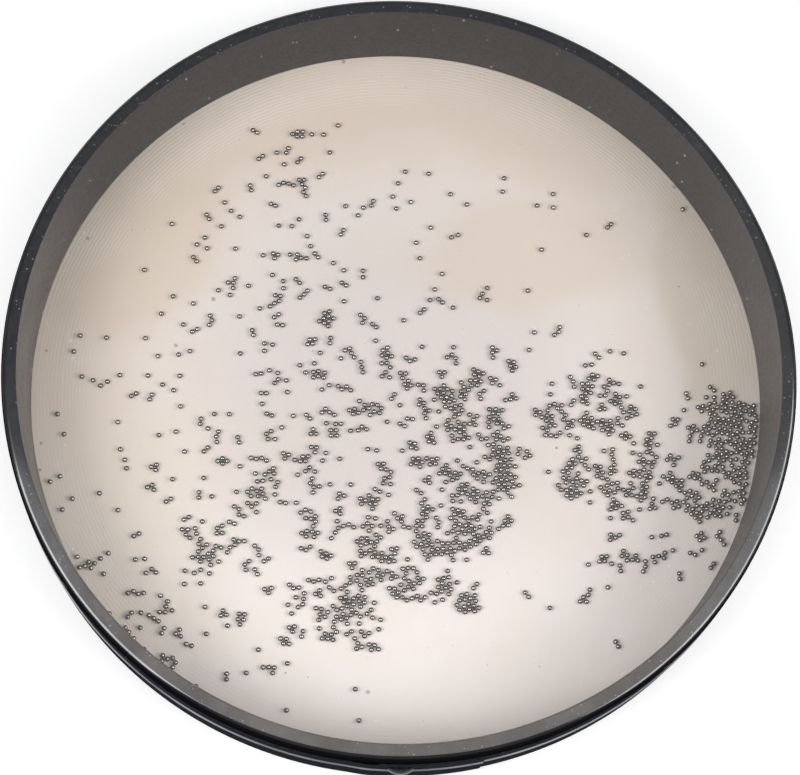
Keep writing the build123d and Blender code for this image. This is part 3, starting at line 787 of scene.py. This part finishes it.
# %% Lay the beads
bead_groups = []
bead_count = 0
for name in bead_nodes:
    points, faces = [], []
    for middle in bead_places[name]:
        shape_points, shape_faces = shake.choice(shapes)
        turn = Matrix.Rotation(shake.uniform(0, 2 * math.pi), 3, "Z")
        turn @= Matrix.Rotation(shake.uniform(0, math.pi), 3, "X")
        first = len(points)
        points += [middle + turn @ p for p in shape_points]
        faces += [[first + k for k in f] for f in shape_faces]
        bead_count += 1
    data = bpy.data.meshes.new("shot_" + name)
    data.from_pydata([tuple(p) for p in points], [], faces)
    data.shade_smooth()
    group = bpy.data.objects.new("shot_" + name, data)
    bpy.context.scene.collection.objects.link(group)
    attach(group, frame["nodes"][name]["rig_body"])
    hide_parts(name)
    bead_groups.append(group)
print("beads:", bead_count, "in", len(bead_groups), "groups")

# %% [markdown]
# The shot is plain steel that has rolled about for years: metal, a little dull, greyer on some beads
# than others, with darker oxide in patches. A noise at the size of a bead makes the difference from one
# to the next. Every bead is also painted darker towards its outline, as a painted reflection of the dark
# horizon round it.

# %% Bead finish
steel, tree, shader = finish("bead_steel", Metallic=1.0)
each = use_group(tree, tone_group, Scale=260.0, Detail=0.0, Seed=6.0)
worn = use_group(tree, tone_group, Scale=1500.0, Detail=4.0, Seed=8.0)
tone = mix(tree, each.outputs["Tone"], paint(176, 171, 166), paint(202, 197, 192))
tone = mix(tree, sums(tree, "MULTIPLY", worn.outputs["Tone"], 0.3), tone, paint(86, 82, 78))
# painted reflection: each bead darkens towards its outline, for the dark horizon mirrored round it
edge = put(tree, "ShaderNodeLayerWeight", None, Blend=0.5)
tone = mix(tree, fade(tree, edge.outputs["Facing"], 0.06, 0.4), tone, paint(84, 79, 74))
tree.links.new(tone, shader.inputs["Base Color"])
tree.links.new(fade(tree, worn.outputs["Tone"], 0.0, 1.0, 0.16, 0.3), shader.inputs["Roughness"])
for group in bead_groups:
    group.data.materials.append(steel)
print("finish:", steel.name, "on", len(bead_groups), "groups")

# %% [markdown]
# ## Floor and light
# The drum lies on a plain white floor. Two large soft boxes stand left and right of it, as in a studio.
# They light the walls across from them, draw bright lines along the rolled edge and leave the far wall
# dim. A wide, weaker panel hangs overhead. The near rim and the tops of the beads reflect it, and its
# width makes each bead's highlight a broad oval. A dim even world fills the rest. For the rays that see
# it, the floor gains a little light of its own, more with distance, so that it reads as white paper
# right to the horizon and still keeps the drum's shadow.

# %% Floor
FLOOR_HALF = 40.0
FLOOR_DROP = 0.2 * MM
LIFT_START, LIFT_FULL = 350.0, 1000.0
NEAR_LIFT, FAR_LIFT = 0.3, 0.85
mesh = bmesh.new()
bmesh.ops.create_grid(mesh, x_segments=8, y_segments=8, size=FLOOR_HALF)
data = bpy.data.meshes.new("floor")
mesh.to_mesh(data)
mesh.free()
floor = bpy.data.objects.new("floor", data)
floor.location = (0, 0, -FLOOR_DROP)
bpy.context.scene.collection.objects.link(floor)
paper, tree, shader = finish("white_paper", Roughness=0.9, Specular_IOR_Level=0.1)
clouds = use_group(tree, tone_group, Scale=3.0, Detail=3.0, Seed=0.0)
tone = mix(tree, clouds.outputs["Tone"], paint(246, 246, 246), paint(248, 248, 248))
tree.links.new(tone, shader.inputs["Base Color"])
rays = put(tree, "ShaderNodeLightPath")
seen = sums(tree, "MAXIMUM", rays.outputs["Is Camera Ray"], rays.outputs["Is Transmission Ray"])
seen = sums(tree, "MAXIMUM", seen, rays.outputs["Is Glossy Ray"])
place = use_group(tree, place_group)
lift = fade(tree, place.outputs["Radius mm"], LIFT_START, LIFT_FULL, NEAR_LIFT, FAR_LIFT)
shown = sums(tree, "MULTIPLY", seen, lift)
glow = put(tree, "ShaderNodeEmission", None, Color=(1, 1, 1, 1), Strength=shown)
both = put(tree, "ShaderNodeAddShader", None, _0=shader.outputs[0], _1=glow.outputs[0])
tree.links.new(both.outputs[0], tree.nodes["Material Output"].inputs["Surface"])
floor.data.materials.append(paper)
print("floor:", floor.name)

# %% Lamps
def soft_lamp(name, place, target, width, height, watts):
    """An area lamp that looks at a point."""
    lamp = bpy.data.lights.new(name, "AREA")
    lamp.shape = "RECTANGLE"
    lamp.size = width
    lamp.size_y = height
    lamp.energy = watts
    holder = bpy.data.objects.new(name, lamp)
    holder.location = place
    holder.rotation_euler = (Vector(target) - Vector(place)).to_track_quat("-Z", "Y").to_euler()
    bpy.context.scene.collection.objects.link(holder)
    return holder


def ring_place(angle, rise, distance):
    """A place round the drum, given by compass angle, angle above the floor and distance."""
    turn, lift = math.radians(angle), math.radians(rise)
    flat = distance * math.cos(lift)
    return flat * math.cos(turn), flat * math.sin(turn), distance * math.sin(lift)


middle = (0, 0, shell_high.z)
PANEL_DEEP, PANEL_RISE = -0.25, 1.35
overhead = soft_lamp("overhead_panel", (0.0, PANEL_DEEP, PANEL_RISE), (0.0, PANEL_DEEP, 0.0),
                     width=2.6, height=1.0, watts=8.6)
left_place = ring_place(angle=203, rise=46, distance=1.25)
left_box = soft_lamp("left_box", left_place, middle, width=0.8, height=0.62, watts=6.9)
right_place = ring_place(angle=342, rise=38, distance=1.25)
right_box = soft_lamp("right_box", right_place, middle, width=1.2, height=0.5, watts=8.0)
print("lamps:", overhead.name, left_box.name, right_box.name)

# %% World
world = bpy.data.worlds.new("soft_room")
world.use_nodes = True
room = world.node_tree.nodes["Background"]
room.inputs["Color"].default_value = (0.95, 0.97, 1.0, 1)
room.inputs["Strength"].default_value = 0.19
bpy.context.scene.world = world
bpy.context.scene.view_settings.view_transform = "Standard"
print("world:", world.name)
